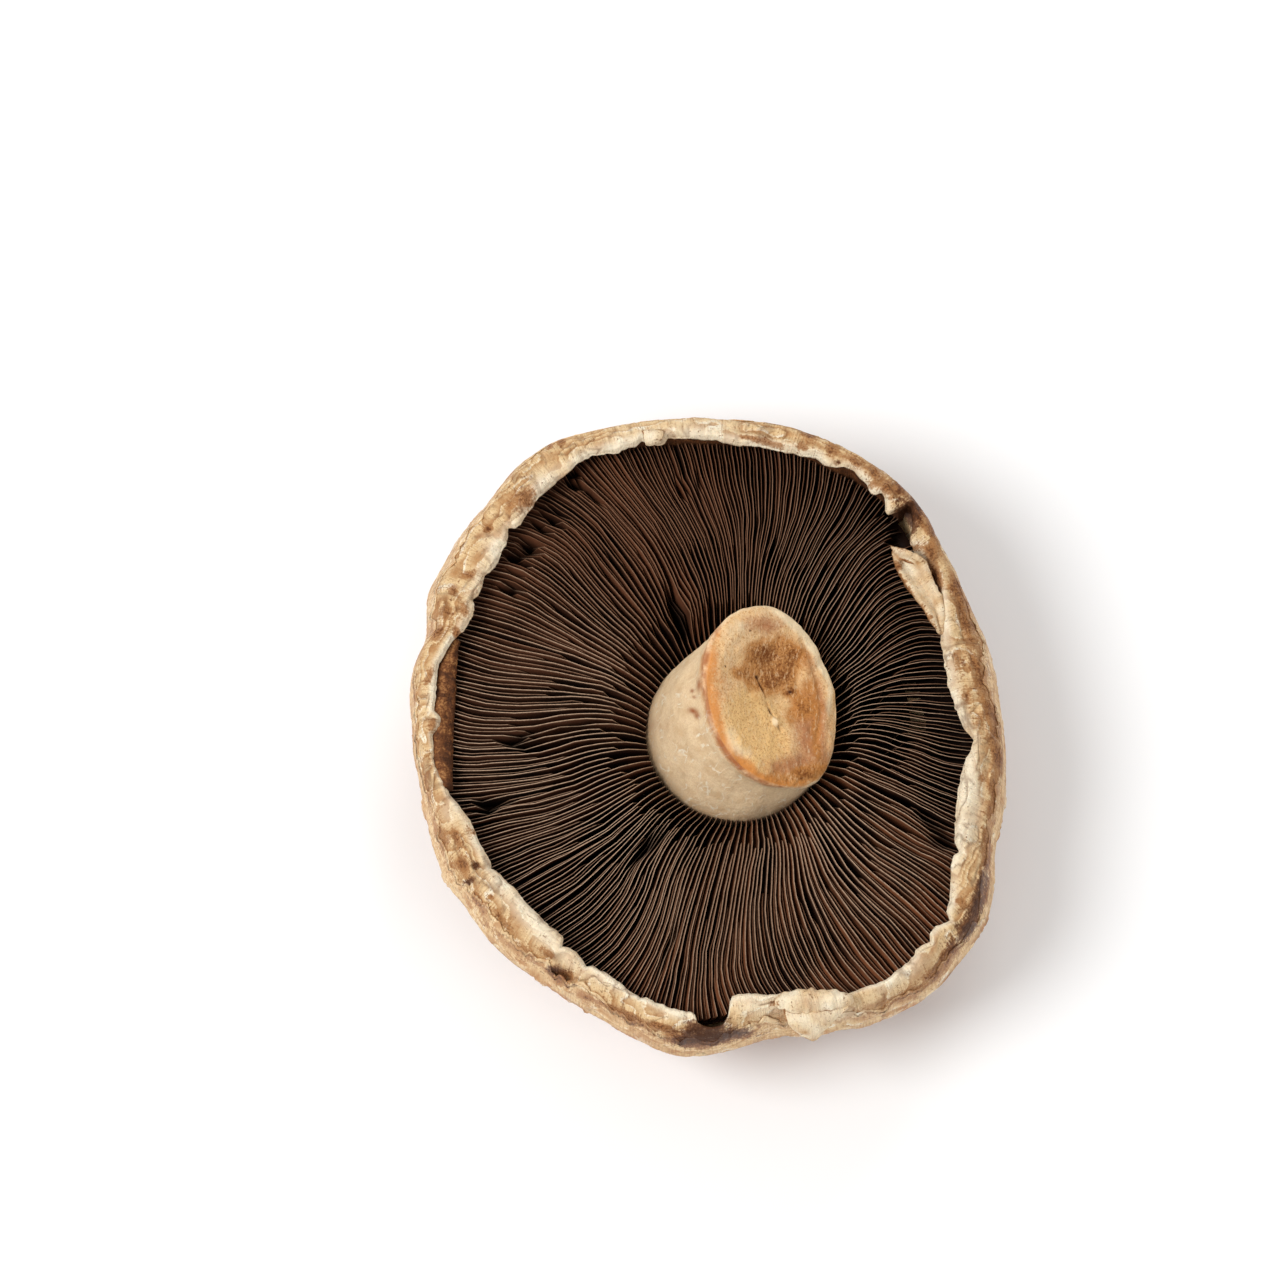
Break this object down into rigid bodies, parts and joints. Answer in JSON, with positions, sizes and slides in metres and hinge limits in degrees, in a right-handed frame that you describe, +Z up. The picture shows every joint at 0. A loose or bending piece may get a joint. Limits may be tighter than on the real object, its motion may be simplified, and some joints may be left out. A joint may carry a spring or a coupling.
{
  "type": "portobello mushroom",
  "caption": "Whole portobello mushroom lying on its crown: scaly tan cap, torn pale rim, dark radiating gills and a short thick stem with a slanting cut.",
  "frame": {"origin": "on the surface the mushroom lies on, under the middle of its bounding box, on the flat spot of the cap's crown", "axes": "+Z up out of the gills, along the cap's own axis; +Y along the cap's longest width; +X to the side that the stem leans to and its cut face slopes down to"},
  "size_m": [0.1118, 0.1246, 0.0557],
  "materials": {
    "cap": "fibrous tan skin with brown scales, a cream torn rim and pale flesh",
    "gills": "dull, near-black brown plates with paler edges",
    "stem": "cream fibrous flank, ochre cut face stained brown"
  },
  "bodies": {
    "root": {"cap": "cap", "gills": "gills", "stem": "stem"}
  },
  "joints": []
}
